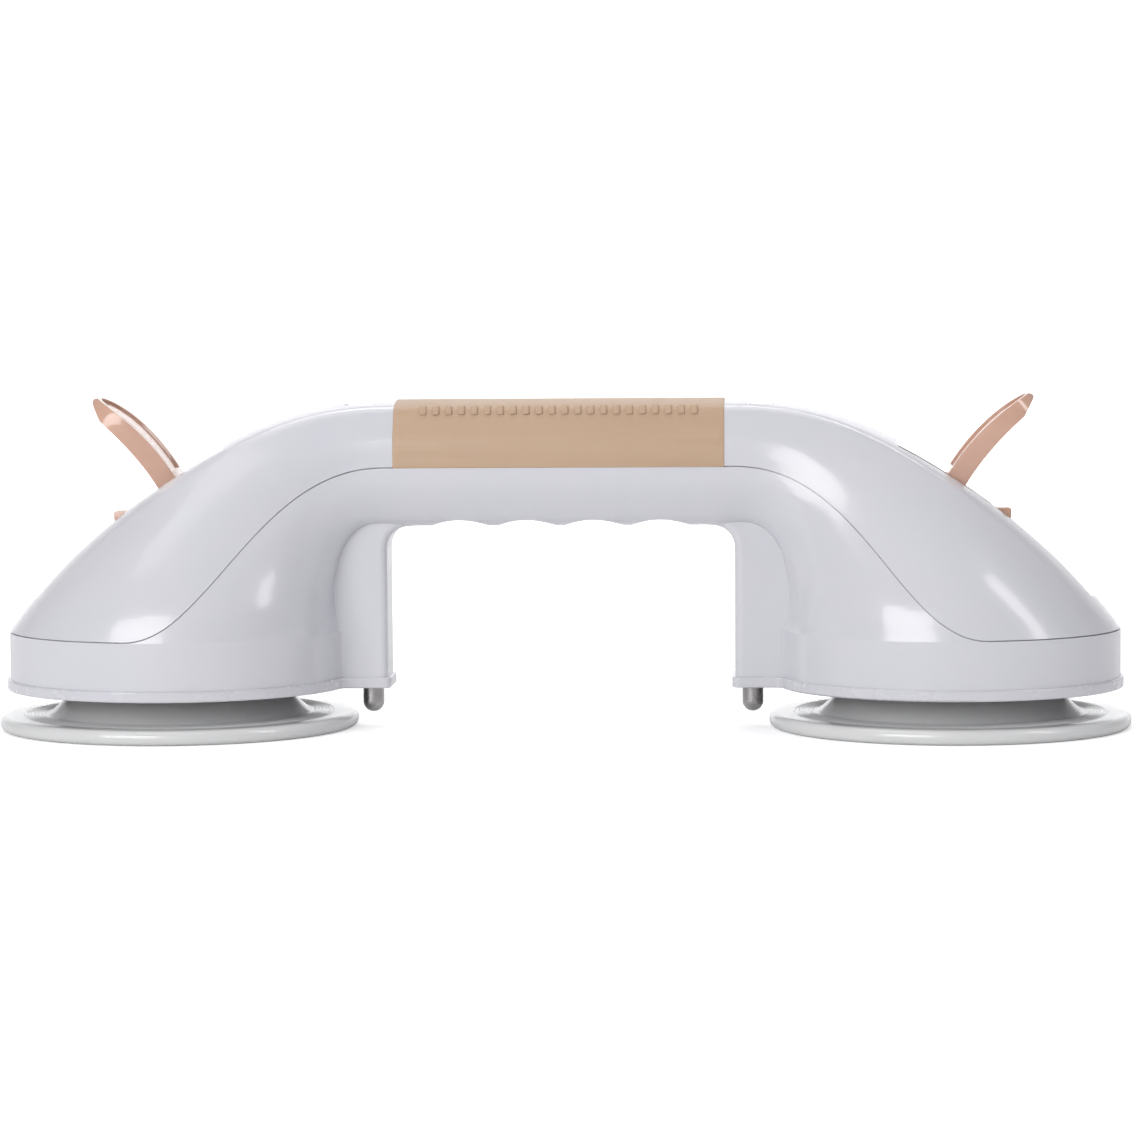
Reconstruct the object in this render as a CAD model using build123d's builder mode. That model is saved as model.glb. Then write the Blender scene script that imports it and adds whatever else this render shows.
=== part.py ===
"""Suction grab bar: a two-shell arch on two lever-locked suction cups.

Millimetres, +Z up, away from the wall. The origin is the middle of the plane on which the two
cups rest. The right half (+X) is modelled, and the left half is its mirror image.
"""
import os
from math import cos, hypot, pi, radians, sin

from build123d import *

# ---- driving dimensions ------------------------------------------------------------------
cup_spacing = 208.2          # between the two cup centres
cup_radius = 48.4
cup_rim_height = 4.0
cup_rim_width = 13.4
cup_rim_round = 1.5
cup_hub_radius = 20.0
cup_hub_height = 13.0

base_radius = 45.5           # round wall above each cup
base_bottom = 14.0           # underside of the shells, top of the base plates
skirt_top = 26.5             # where the round wall turns into the arch
shell_wall = 2.8

plate_thickness = 2.9
plate_lip = 0.8              # how far the base plate stands out all round
plate_edge_round = 0.5
plate_opening_radius = 36.5

handle_top = 88.3
handle_depth = 33.8
handle_half_width = 16.5
handle_half_length = 44.0
handle_parting = 70.5        # height of the joint between the shells along the handle
arch_lead_in = 5.0           # straight end of the arch's loft, inside the handle
scallop_pitch = 17.9
scallop_depth = 1.75
scallop_radius = 19.0

seam_width = 0.3             # open groove along the joint, on the outside
seam_depth = 0.9

grip_thickness = 1.4
grip_proud = 0.2

leg_inner_face = 46.6        # distance of the leg's inner face from the middle of the bar
leg_half_width = 8.3
leg_round = 2.0
leg_flare = 5.8              # radius where the leg meets the underside of the handle
leg_overlap = 5.0            # how far the leg runs into the base
leg_pin_wall = 1.85          # between the leg's inner face and the indicator pin

pin_radius = 2.85
pin_thick_length = 20.0      # from the pin's tip to the shoulder that the spring pushes on
guide_roof = 5.5             # of the pin's guide, below the underside of the handle
rod_radius = 1.5
rod_rise = 3.0               # of the rod above the joint between the shells
collar_radius = 3.2
collar_thickness = 1.2
running_clearance = 0.08
spring_wire_radius = 0.3
spring_turns = 8

window_offset = 2.7          # of the window outwards from the pin
window_notch_depth = 1.4
window_notch_length = 8.0
lens_length = 6.6
lens_width = 12.0
lens_thickness = 1.2
lens_ledge = 0.8             # width of the ledge that the lens rests on

pivot_height = 54.0          # lever pivot above the rest plane, with the lever open
pivot_pin_radius = 2.5
eye_radius = 5.0
blade_half_thickness = 3.0
blade_half_width = 3.2
stem_shaft_radius = 4.0

cup_lift = 7.0               # how far a cup's centre is drawn up by a quarter turn of the lever
cam_open_height = 9.0        # pivot above the saddle, lever open
cam_gap = 0.1
foot_length = 15.9
foot_top = 5.0
foot_half_width = 8.8
cheek_gap = 0.4

lever_half_width = 10.8      # of the thumb arm near its round end
lever_length = 41.4          # from the pivot to the tip, along the arm's lean
lever_lean = 41.0            # degrees from upright
lever_rim = 1.7
lever_dish = 0.8
dish_start = 12.5            # from the pivot, along the arm

pocket_half_width = 12.3
pocket_reach_in = 14.1       # from the cup's axis to the pocket's inner end
pocket_wall = 2.2
saddle_thickness = 3.0

screw_radius = 1.5
screw_head_radius = 2.8
base_screw_length = 12.0
boss_radius = 3.6
outward_boss_radius = 3.0    # this one passes the round wall and doesn't touch it
boss_ring_radius = 39.5

# ---- sizes that follow from them ---------------------------------------------------------
cup_x = cup_spacing / 2
plate_bottom = base_bottom - plate_thickness
handle_bottom = handle_top - handle_depth
shell_floor = handle_bottom + shell_wall
saddle_top = pivot_height - cam_open_height
pocket_floor = saddle_top - saddle_thickness
ring_inner = cup_x - base_radius
ring_outer = cup_x + base_radius
pin_x = leg_inner_face + leg_pin_wall + pin_radius
pin_tip = plate_bottom - cup_lift - cam_gap
pin_shoulder = pin_tip + pin_thick_length
pin_guide_top = handle_bottom - guide_roof
rod_top = handle_parting + rod_rise
window_x = pin_x + window_offset
window_floor = handle_top - window_notch_depth
pocket_inner = cup_x - pocket_reach_in

# The arch: each station is a flat cut through it, from its top line to its bottom line. The
# shares run from the handle's end (0) to the base ring (1), outwards and downwards: top line
# outwards and downwards, bottom line outwards and downwards, half-width. The last number says
# how far the outline has turned from the handle's rounded octagon (0) to the base's circle (1).
ARCH_SHAPE = (
    (0.0, 0.0, 0.0, 0.0, 0.0, 0.0),
    (0.142, 0.015, 0.514, 0.004, 0.017, 0.03),
    (0.294, 0.076, 0.849, 0.125, 0.103, 0.12),
    (0.4545, 0.199, 1.041, 0.321, 0.276, 0.28),
    (0.625, 0.380, 1.130, 0.536, 0.500, 0.48),
    (0.7955, 0.610, 1.137, 0.725, 0.759, 0.70),
    (0.9185, 0.824, 1.096, 0.875, 0.931, 0.88),
    (1.0, 1.0, 1.0, 1.0, 1.0, 1.0),
)

# Half of the handle's outline: distance from the middle plane, height above the underside,
# and the angle on the base's circle (from the outward side) where that point ends up.
OUTLINE = (
    (0.0, 33.8, 0.0),
    (7.5, 33.0, 15.0),
    (11.3, 32.0, 23.0),
    (12.7, 31.0, 27.0),
    (13.4, 29.6, 31.0),
    (14.7, 26.7, 44.0),
    (15.9, 23.8, 57.0),
    (16.5, 20.6, 75.0),
    (16.5, 15.6, 92.0),
    (16.3, 11.8, 106.0),
    (15.2, 8.6, 118.0),
    (12.2, 3.6, 141.0),
    (9.6, 1.2, 156.0),
    (5.4, 0.1, 169.0),
    (0.0, 0.0, 180.0),
)
HANDLE_OUTLINE_WIDTH = 16.5
HANDLE_OUTLINE_DEPTH = 33.8

# Across the bar, through the underside of the handle.
HANDLE_PLANE = Plane(origin=(0, 0, handle_bottom), x_dir=(0, 1, 0), z_dir=(1, 0, 0))


def between(start, end, share):
    """The value a share of the way from start to end."""
    return start + share * (end - start)


def station(shape):
    """Top point, bottom point, half-width and turn of one cut through the arch."""
    top_out, top_down, bottom_out, bottom_down, widening, turn = shape
    top = (between(handle_half_length, ring_outer, top_out), between(handle_top, skirt_top, top_down))
    bottom = (
        between(handle_half_length, ring_inner, bottom_out),
        between(handle_bottom, skirt_top, bottom_down),
    )
    return top, bottom, between(handle_half_width, base_radius, widening), turn


def station_plane(top, bottom):
    """The plane of one cut through the arch: local x is across, local y runs up to the top line."""
    reach = hypot(top[0] - bottom[0], top[1] - bottom[1])
    up_x = (top[0] - bottom[0]) / reach
    up_z = (top[1] - bottom[1]) / reach
    origin = (bottom[0], 0, bottom[1])
    return Plane(origin=origin, x_dir=(0, 1, 0), z_dir=(up_z, 0, -up_x)), reach


def station_points(reach, half_width, turn, grow):
    """Half of one cut's outline, from the top line round to the bottom line."""
    points = []
    for width, height, angle in OUTLINE:
        across = (1 - turn) * width / HANDLE_OUTLINE_WIDTH + turn * sin(radians(angle))
        upward = (1 - turn) * height / HANDLE_OUTLINE_DEPTH + turn * (1 + cos(radians(angle))) / 2
        points.append((across * (half_width + grow), upward * (reach + 2 * grow) - grow))
    return points


def cut_face(plane, reach, half_width, turn, grow):
    """One cut through the arch as a face on its plane, offset outwards by grow."""
    right = station_points(reach, half_width, turn, grow)
    left = [(-across, upward) for across, upward in right]
    with BuildSketch(plane) as cut:
        with BuildLine():
            Spline(*right, tangents=[(1, 0), (-1, 0)])
            Spline(*left, tangents=[(-1, 0), (1, 0)])
        make_face()
    return cut.sketch


def handle_section(grow=0.0):
    """Cross-section of the handle, standing on its underside, offset outwards by grow."""
    return cut_face(Plane.XY, handle_depth, handle_half_width, 0.0, grow)


def leg_outline(grow=0.0):
    """Sketch of the leg that holds the indicator pin, seen from above."""
    inner = leg_inner_face - grow
    outer = ring_inner + leg_overlap
    with BuildSketch() as leg:
        with Locations(((inner + outer) / 2, 0)):
            Rectangle(outer - inner, 2 * (leg_half_width + grow))
        fillet(leg.vertices().group_by(Axis.X)[0], leg_round)
    return leg.sketch


def leg_block():
    """The leg as a solid block, flared into the underside of the handle."""
    flare_end = leg_inner_face - leg_flare
    outer = ring_inner + leg_overlap
    with BuildPart() as leg:
        with BuildSketch(Plane.XZ):
            with BuildLine():
                Line((leg_inner_face, base_bottom), (leg_inner_face, handle_bottom - leg_flare))
                RadiusArc(
                    (leg_inner_face, handle_bottom - leg_flare),
                    (flare_end, handle_bottom),
                    -leg_flare,
                )
                Polyline(
                    (flare_end, handle_bottom),
                    (flare_end, shell_floor),
                    (outer, shell_floor),
                    (outer, base_bottom),
                    (leg_inner_face, base_bottom),
                )
            make_face()
        extrude(amount=leg_half_width, both=True)
        inner_edges = [
            edge
            for edge in leg.edges()
            if edge.center().X < leg_inner_face + 0.1 and base_bottom < edge.center().Z < handle_bottom
            and abs(abs(edge.center().Y) - leg_half_width) < 0.01
        ]
        fillet(inner_edges, leg_round)
    return leg.part


def base_outline(grow=0.0):
    """Sketch of the whole base seen from above: the round wall and the leg."""
    with BuildSketch() as base:
        with Locations((cup_x, 0)):
            Circle(base_radius + grow)
        add(leg_outline(grow))
        notch = [v for v in base.vertices() if ring_inner < v.X < cup_x and abs(v.Y) < 2 * leg_half_width]
        fillet(notch, leg_round)
    return base.sketch


def arch_body(grow=0.0):
    """Solid right half of the arch, from the middle of the handle down to the base ring."""
    straight_end = handle_half_length - arch_lead_in
    end_plane = Plane(origin=(straight_end, 0, handle_bottom), x_dir=(0, 1, 0), z_dir=(1, 0, 0))
    with BuildPart() as arch:
        add(cut_face(end_plane, handle_depth, handle_half_width, 0.0, grow))
        for shape in ARCH_SHAPE:
            top, bottom, half_width, turn = station(shape)
            plane, reach = station_plane(top, bottom)
            add(cut_face(plane, reach, half_width, turn, grow))
        loft()
        extrude(arch.faces().sort_by(Axis.Z)[0], amount=skirt_top - base_bottom)
        with BuildSketch(HANDLE_PLANE):
            add(handle_section(grow))
        extrude(amount=straight_end)
    return arch.part


def scallops():
    """Cutter for the finger scallops under the right half of the handle."""
    with BuildPart() as cutter:
        with BuildSketch(Plane.XZ):
            for middle in (0.5 * scallop_pitch, 1.5 * scallop_pitch):
                with Locations((middle, handle_bottom + scallop_depth - scallop_radius)):
                    Circle(scallop_radius)
        extrude(amount=handle_half_width, both=True)
    return cutter.part


def pocket_profile(depth, end_margin):
    """Side view of the lever pocket, opening upwards; depth is added below its floor."""
    inner = pocket_inner - end_margin
    knee = cup_x + foot_length + 2.0
    end = cup_x + 0.86 * base_radius + end_margin
    with BuildSketch() as side:
        with BuildLine():
            Polyline(
                (inner, pocket_floor - depth),
                (knee, pocket_floor - depth),
                (end, pocket_floor - depth - (end - knee) / 3),
                (end, handle_top + depth),
                (inner, handle_top + depth),
                close=True,
            )
        make_face()
    return side.sketch


def upper_region(rise_by=0.0):
    """The space above the joint between the shells, right half, from rise_by above the joint."""
    start = leg_inner_face
    end = cup_x + 0.17 * base_radius
    skirt = skirt_top + rise_by
    parting = handle_parting + rise_by
    with BuildPart() as region:
        with BuildSketch(Plane.XZ):
            with BuildLine():
                low = Line((ring_outer + 10, skirt), (end, skirt))
                rise = Bezier(
                    (end, skirt),
                    (end - base_radius / 2, skirt),
                    (start + 0.75 * base_radius, parting),
                    (start, parting),
                )
                Polyline(
                    rise @ 1,
                    (-10, parting),
                    (-10, handle_top + 20),
                    (ring_outer + 10, handle_top + 20),
                    low @ 0,
                )
            make_face()
        extrude(amount=2 * base_radius, both=True)
    return region.part


def seam_groove():
    """Cutter for the shallow open groove that marks the joint on the outside."""
    with BuildPart() as groove:
        add(upper_region())
        add(upper_region(seam_width), mode=Mode.SUBTRACT)
        add(arch_body(-seam_depth), mode=Mode.SUBTRACT)
    return groove.part


def boss_locations():
    """Places of the base plate screws: outward, inward and one to each side."""
    return [
        (cup_x + boss_ring_radius * cos(radians(turn)), boss_ring_radius * sin(radians(turn)))
        for turn in (0, 90, 180, 270)
    ]


def upper_shell_inserts():
    """Tray of the lever pocket, seat of the window and boss of the outward screw, as blanks."""
    with BuildPart() as blanks:
        with BuildSketch(Plane.XZ):
            add(pocket_profile(pocket_wall, pocket_wall))
        extrude(amount=pocket_half_width + pocket_wall, both=True)
        with BuildSketch(Plane.XY.offset(handle_top - 2 * shell_wall)):
            with Locations((window_x, 0)):
                Rectangle(window_notch_length + shell_wall, lens_width + 2 * shell_wall)
        extrude(amount=2 * shell_wall)
        with BuildSketch(Plane.XY.offset(base_bottom)):
            with Locations(boss_locations()[0]):
                Circle(outward_boss_radius)
        extrude(amount=skirt_top)
        # they end halfway through the shell's wall
        add(arch_body(-shell_wall / 2), mode=Mode.INTERSECT)
    return blanks.part


def make_upper_shell(arch, hollow, above):
    """Right half of the top casing, with the lever pocket and the window notch."""
    with BuildPart() as shell:
        add(arch)
        add(above, mode=Mode.INTERSECT)
        add(hollow, mode=Mode.SUBTRACT)
        add(upper_shell_inserts())
        add(seam_groove(), mode=Mode.SUBTRACT)
        # lever pocket and the slot for the stem
        with BuildSketch(Plane.XZ):
            add(pocket_profile(0, 0))
        extrude(amount=pocket_half_width, both=True, mode=Mode.SUBTRACT)
        with BuildSketch(Plane.XY.offset(pocket_floor - 2 * pocket_wall)):
            with Locations((cup_x, 0)):
                Rectangle(2 * (blade_half_width + cheek_gap), 2 * (blade_half_thickness + cheek_gap))
        extrude(amount=3 * pocket_wall, mode=Mode.SUBTRACT)
        # window notch across the crown, lens seat and sight hole
        with BuildSketch(Plane.XY.offset(window_floor)):
            with Locations((window_x, 0)):
                Rectangle(window_notch_length, 2 * handle_half_width)
        extrude(amount=shell_wall, mode=Mode.SUBTRACT)
        with BuildSketch(Plane.XY.offset(window_floor - lens_thickness)):
            with Locations((window_x, 0)):
                Rectangle(lens_length, lens_width)
        extrude(amount=shell_wall, mode=Mode.SUBTRACT)
        with BuildSketch(Plane.XY.offset(handle_top - 3 * shell_wall)):
            with Locations((window_x, 0)):
                Rectangle(lens_length - 2 * lens_ledge, lens_width - 2 * lens_ledge)
        extrude(amount=3 * shell_wall, mode=Mode.SUBTRACT)
        # seat of the grip cover
        add(grip_layer(grip_proud - grip_thickness, grip_thickness), mode=Mode.SUBTRACT)
        # pilot hole of the outward base screw
        with BuildSketch(Plane.XY.offset(base_bottom)):
            with Locations(boss_locations()[0]):
                Circle(screw_radius)
        extrude(amount=base_screw_length - plate_thickness, mode=Mode.SUBTRACT)
    return shell.part


def grip_layer(inner_grow, outer_grow):
    """The layer round the top half of the handle between two offsets of its outline, right half."""
    with BuildPart() as layer:
        add(handle_slab(outer_grow))
        add(handle_slab(inner_grow), mode=Mode.SUBTRACT)
    return layer.part


def handle_slab(grow):
    """The handle above the joint, as far as the grip cover reaches, offset by grow."""
    with BuildPart() as slab:
        with BuildSketch(HANDLE_PLANE):
            add(handle_section(grow))
        extrude(amount=handle_half_length)
        split(bisect_by=Plane.XY.offset(handle_parting), keep=Keep.TOP)
    return slab.part


def make_lower_shell(arch, hollow, above):
    """Right half of the bottom casing: skirt, neck, leg and the underside of the handle."""
    screw_places = boss_locations()[1:]
    with BuildPart() as shell:
        add(arch)
        add(above, mode=Mode.SUBTRACT)
        add(hollow, mode=Mode.SUBTRACT)
        add(scallops(), mode=Mode.SUBTRACT)
        add(leg_block())
        with BuildSketch(Plane.XY.offset(base_bottom)):
            with Locations(*screw_places):
                Circle(boss_radius)
        extrude(amount=skirt_top - base_bottom - 2)
        # guide for the pin, and the smaller hole for its rod
        with BuildSketch(Plane.XY.offset(base_bottom)):
            with Locations((pin_x, 0)):
                Circle(pin_radius + running_clearance)
        extrude(amount=pin_guide_top - base_bottom, mode=Mode.SUBTRACT)
        with BuildSketch(Plane.XY.offset(base_bottom)):
            with Locations((pin_x, 0)):
                Circle(rod_radius + running_clearance)
        extrude(amount=handle_parting - base_bottom, mode=Mode.SUBTRACT)
        with BuildSketch(Plane.XY.offset(shell_floor)):
            with Locations((pin_x, 0)):
                Circle(collar_radius + cheek_gap)
        extrude(amount=handle_parting - shell_floor, mode=Mode.SUBTRACT)
        with BuildSketch(Plane.XY.offset(base_bottom)):
            with Locations(*screw_places):
                Circle(screw_radius)
        extrude(amount=base_screw_length - plate_thickness, mode=Mode.SUBTRACT)
    return shell.part


def make_base_plate():
    """Flanged plate that closes the base round the suction cup."""
    with BuildPart() as plate:
        with BuildSketch(Plane.XY.offset(plate_bottom)):
            add(base_outline(plate_lip))
            with Locations((cup_x, 0)):
                Circle(plate_opening_radius, mode=Mode.SUBTRACT)
            with Locations((pin_x, 0)):
                Circle(pin_radius + running_clearance, mode=Mode.SUBTRACT)
        extrude(amount=plate_thickness)
        faces = plate.faces().filter_by(Axis.Z).sort_by(Axis.Z)
        fillet(faces[0].outer_wire().edges() + faces[-1].outer_wire().edges(), plate_edge_round)
        with Locations(Plane.XY.offset(plate_bottom).rotated((180, 0, 0))):
            with Locations(*[(x, -y) for x, y in boss_locations()]):
                CounterSinkHole(screw_radius, screw_head_radius)
    return plate.part


def make_base_screws():
    """Countersunk screws of one base plate, as separate solids in one group."""
    head_depth = screw_head_radius - screw_radius
    with BuildPart() as screws:
        for x, y in boss_locations():
            with BuildSketch(Plane(origin=(x, y, plate_bottom), x_dir=(1, 0, 0), z_dir=(0, -1, 0))):
                with BuildLine():
                    Polyline(
                        (0, 0.6),
                        (0.7, 0.6),
                        (0.7, 0),
                        (screw_head_radius, 0),
                        (screw_radius, head_depth),
                        (screw_radius, base_screw_length - 1.2),
                        (0.3, base_screw_length),
                        (0, base_screw_length),
                        close=True,
                    )
                make_face()
            revolve(axis=Axis((x, y, 0), (0, 0, 1)))
    return screws.part


def make_suction_cup():
    """Rubber cup: flat sealing rim, rising shoulder and a hub with the stem's seat."""
    rim_inner = cup_radius - cup_rim_width
    with BuildPart() as cup:
        with BuildSketch(Plane.XZ):
            with BuildLine():
                Polyline(
                    (cup_x, 3.5),
                    (cup_x + 22, 2.6),
                    (cup_x + rim_inner + 1.5, 0.0),
                    (cup_x + cup_radius, 0.0),
                    (cup_x + cup_radius, cup_rim_height),
                    (cup_x + rim_inner, cup_rim_height),
                    (cup_x + rim_inner - 7.5, plate_bottom),
                    (cup_x + cup_hub_radius, cup_hub_height),
                    (cup_x, cup_hub_height),
                    close=True,
                )
            make_face()
        revolve(axis=Axis((cup_x, 0, 0), (0, 0, 1)))
        rim = cup.edges().filter_by(GeomType.CIRCLE).sort_by(SortBy.RADIUS)[-2:]
        fillet(rim, cup_rim_round)
        crease = [
            edge
            for edge in cup.edges().filter_by(GeomType.CIRCLE)
            if abs(edge.radius - rim_inner) < 0.1 and edge.center().Z > 1
        ]
        fillet(crease, 2.0)
        add(stem_foot(), mode=Mode.SUBTRACT)
    return cup.part


def stem_foot():
    """The disc at the lower end of the stem, moulded into the cup's hub."""
    foot_radius = 0.7 * cup_hub_radius
    with BuildPart() as foot:
        with BuildSketch(Plane.XY.offset(cup_hub_height - 5)):
            with Locations((cup_x, 0)):
                Circle(foot_radius)
        extrude(amount=3)
        with BuildSketch(Plane.XY.offset(cup_hub_height - 5)):
            with Locations((cup_x, 0)):
                Circle(stem_shaft_radius + 1.5)
        extrude(amount=5)
    return foot.part


def make_cup_stem():
    """Rigid stem: foot disc, round shaft, flat blade and the eye of the lever pivot."""
    blade_bottom = pocket_floor - pocket_wall - cup_lift - 0.8
    with BuildPart() as stem:
        add(stem_foot())
        with BuildSketch(Plane.XY.offset(cup_hub_height)):
            with Locations((cup_x, 0)):
                Circle(stem_shaft_radius)
        extrude(amount=blade_bottom - cup_hub_height)
        with BuildSketch(Plane.XZ):
            with Locations((cup_x, (blade_bottom + pivot_height) / 2)):
                Rectangle(2 * blade_half_width, pivot_height - blade_bottom)
            with Locations((cup_x, pivot_height)):
                Circle(eye_radius)
        extrude(amount=blade_half_thickness, both=True)
        with BuildSketch(Plane.XZ):
            with Locations((cup_x, pivot_height)):
                Circle(pivot_pin_radius)
        extrude(amount=2 * blade_half_thickness, both=True, mode=Mode.SUBTRACT)
    return stem.part


def make_pivot_pin():
    """Steel cross pin, held in the stem's eye, that the lever turns on."""
    half_length = foot_half_width - 0.3
    with BuildPart() as pin:
        with BuildSketch(Plane.XZ):
            with Locations((cup_x, pivot_height)):
                Circle(pivot_pin_radius)
        extrude(amount=half_length, both=True)
        chamfer(pin.edges().filter_by(GeomType.CIRCLE), 0.3)
    return pin.part


def make_cam_saddle():
    """Hard wear plate under the lever's cam, slotted for the stem."""
    with BuildPart() as saddle:
        with BuildSketch(Plane.XY.offset(pocket_floor)):
            with Locations((cup_x + 1, 0)):
                RectangleRounded(22, 2 * (pocket_half_width - 0.3), 2)
            with Locations((cup_x, 0)):
                Rectangle(
                    2 * (blade_half_width + cheek_gap),
                    2 * (blade_half_thickness + cheek_gap),
                    mode=Mode.SUBTRACT,
                )
        extrude(amount=saddle_thickness)
        chamfer(saddle.faces().sort_by(Axis.Z)[-1].outer_wire().edges(), 0.4)
    return saddle.part


def cam_points(count=9):
    """The cam edge of the foot, about the pivot: it lifts in proportion to the lever's turn."""
    rise = cup_lift / (pi / 2)
    start = cam_open_height - cam_gap
    points = []
    for step in range(count):
        turn = (pi / 2) * step / (count - 1)
        reach = start + rise * turn
        points.append((reach * sin(turn) + rise * cos(turn), -reach * cos(turn) + rise * sin(turn)))
    return points


def make_lever():
    """Flip lever: cam foot with two cheeks, and a curved, dished thumb arm."""
    cam = cam_points()
    pivot = Plane(origin=(cup_x, 0, pivot_height), x_dir=(1, 0, 0), z_dir=(0, -1, 0))
    arm = make_lever_arm(pivot)
    with BuildPart() as lever:
        with BuildSketch(pivot):
            with BuildLine():
                edge = Spline(*cam)
                Polyline(
                    edge @ 1,
                    (foot_length, foot_top),
                    (1.4, foot_top),
                    (2.6, 9.0),
                    (-3.6, 10.5),
                    (-5.2, 6.0),
                    (-6.0, 0.0),
                    (-5.2, -(cam_open_height - cam_gap) + 1.5),
                    (-3.7, -(cam_open_height - cam_gap)),
                    edge @ 0,
                )
            make_face()
        extrude(amount=foot_half_width, both=True)
        toe = (cup_x + foot_length, 0, pivot_height + foot_top)
        fillet(lever.edges().filter_by(Axis.Y).sort_by_distance(toe)[0], 0.6)
        add(arm)
        crook = (cup_x + 1.4, 0, pivot_height + foot_top)
        fillet(lever.edges().filter_by(Axis.Y).sort_by_distance(crook)[0], 1.2)
        # room for the stem's eye and blade between the two cheeks, over the whole turn
        gap = blade_half_thickness + cheek_gap
        side = blade_half_width + cheek_gap
        with BuildSketch(pivot):
            Circle(eye_radius + cheek_gap)
            with Locations((-side, side)):
                Rectangle(3 * foot_length, 3 * foot_length, align=(Align.MIN, Align.MAX))
        extrude(amount=gap, both=True, mode=Mode.SUBTRACT)
        with BuildSketch(pivot):
            Circle(pivot_pin_radius + running_clearance)
        extrude(amount=2 * foot_half_width, both=True, mode=Mode.SUBTRACT)
    return lever.part


def make_lever_arm(pivot):
    """The lever's arm: a curved blade, cut to a spoon-shaped outline and dished on its face."""
    root_inner = (-3.4, 9.0)
    tip_inner = (20.6, 35.3)
    bow_inner = (6.2, 23.6)
    root_outer = (2.6, 9.0)
    knee_outer = (19.2, 29.2)
    bow_outer = (10.6, 20.5)
    lean = Plane(
        origin=(cup_x, 0, pivot_height),
        x_dir=(sin(radians(lever_lean)), 0, cos(radians(lever_lean))),
        z_dir=(-cos(radians(lever_lean)), 0, sin(radians(lever_lean))),
    )
    with BuildPart() as arm:
        with BuildSketch(pivot) as side:
            with BuildLine():
                face = ThreePointArc(root_inner, bow_inner, tip_inner)
                back = ThreePointArc(knee_outer, bow_outer, root_outer)
                Polyline(tip_inner, (22.4, 34.9), knee_outer)
                Line(root_outer, root_inner)
            make_face()
            fillet(side.vertices().sort_by_distance((cup_x + 22.4, 0, pivot_height + 34.9))[0], 0.7)
        extrude(amount=lever_half_width, both=True)
        with BuildSketch(lean):
            add(spoon_outline(0))
        extrude(amount=lever_length / 2, both=True, mode=Mode.INTERSECT)
        # shallow dish in the thumb face
        add(dish_cutter(pivot, lean, root_inner, bow_inner, tip_inner), mode=Mode.SUBTRACT)
    return arm.part


def spoon_outline(inset):
    """Outline of the arm along its length: parallel at the root, wider near its round end."""
    root = foot_half_width - inset
    wide = lever_half_width - inset
    waist = between(root, wide, 0.6)
    end = lever_length - lever_half_width - 0.6
    parallel = end / 3
    flank = 0.73 * end
    with BuildSketch() as outline:
        with BuildLine():
            Spline((0, root), (parallel, root), (flank, waist), (end, wide), tangents=[(1, 0), (1, 0)])
            ThreePointArc((end, wide), (lever_length - inset, 0), (end, -wide))
            Spline((end, -wide), (flank, -waist), (parallel, -root), (0, -root), tangents=[(-1, 0), (-1, 0)])
            Line((0, -root), (0, root))
        make_face()
    return outline.sketch


def dish_cutter(pivot, lean, root, bow, tip):
    """Thin slab that follows the arm's face, cut to the outline inside the rim."""
    reach_x = 2 * lever_dish * cos(radians(lever_lean))
    reach_z = 2 * lever_dish * sin(radians(lever_lean))
    with BuildPart() as dish:
        with BuildSketch(pivot):
            with BuildLine():
                low = ThreePointArc(
                    (root[0] + reach_x / 2, root[1] - reach_z / 2),
                    (bow[0] + reach_x / 2, bow[1] - reach_z / 2),
                    (tip[0] + reach_x / 2, tip[1] - reach_z / 2),
                )
                high = ThreePointArc(
                    (tip[0] - reach_x, tip[1] + reach_z),
                    (bow[0] - reach_x, bow[1] + reach_z),
                    (root[0] - reach_x, root[1] + reach_z),
                )
                Line(low @ 1, high @ 0)
                Line(high @ 1, low @ 0)
            make_face()
        extrude(amount=lever_half_width, both=True)
        with BuildSketch(lean):
            add(spoon_outline(lever_rim))
            # the dish stops above the cam foot
            Rectangle(2 * dish_start, 3 * lever_half_width, mode=Mode.SUBTRACT)
        extrude(amount=lever_length / 2, both=True, mode=Mode.INTERSECT)
        fillet(dish.edges().filter_by(GeomType.LINE), 0.2)
    return dish.part


def make_indicator_pin():
    """Steel pin with a domed tip, a shoulder for the spring and a thin rod above it."""
    plane = Plane(origin=(pin_x, 0, 0), x_dir=(1, 0, 0), z_dir=(0, -1, 0))
    with BuildPart() as pin:
        with BuildSketch(plane):
            with BuildLine():
                dome = RadiusArc((0, pin_tip), (pin_radius, pin_tip + pin_radius), -pin_radius)
                Polyline(
                    dome @ 1,
                    (pin_radius, pin_shoulder),
                    (rod_radius, pin_shoulder),
                    (rod_radius, rod_top),
                    (0, rod_top),
                    (0, pin_tip),
                )
            make_face()
        revolve(axis=Axis((pin_x, 0, 0), (0, 0, 1)))
    return pin.part


def make_pin_collar():
    """Retaining clip on the rod, which rests on the floor of the handle."""
    with BuildPart() as collar:
        with BuildSketch(Plane.XY.offset(shell_floor + 0.3)):
            with Locations((pin_x, 0)):
                Circle(collar_radius)
                Circle(rod_radius, mode=Mode.SUBTRACT)
        extrude(amount=collar_thickness)
        chamfer(collar.edges().filter_by(GeomType.CIRCLE).sort_by(SortBy.RADIUS)[-2:], 0.2)
    return collar.part


def make_indicator_spring():
    """Compression spring round the rod, between the pin's shoulder and the top of its guide."""
    end_gap = 0.05
    coil_radius = rod_radius + 0.25 + spring_wire_radius
    low = pin_shoulder + spring_wire_radius + end_gap
    height = pin_guide_top - pin_shoulder - 2 * (spring_wire_radius + end_gap)
    with BuildPart() as spring:
        with BuildLine(Plane(origin=(pin_x, 0, low))):
            coil = Helix(pitch=height / spring_turns, height=height, radius=coil_radius)
        with BuildSketch(Plane(origin=coil @ 0, z_dir=coil % 0)):
            Circle(spring_wire_radius)
        sweep(is_frenet=True)
    return spring.part


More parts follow.
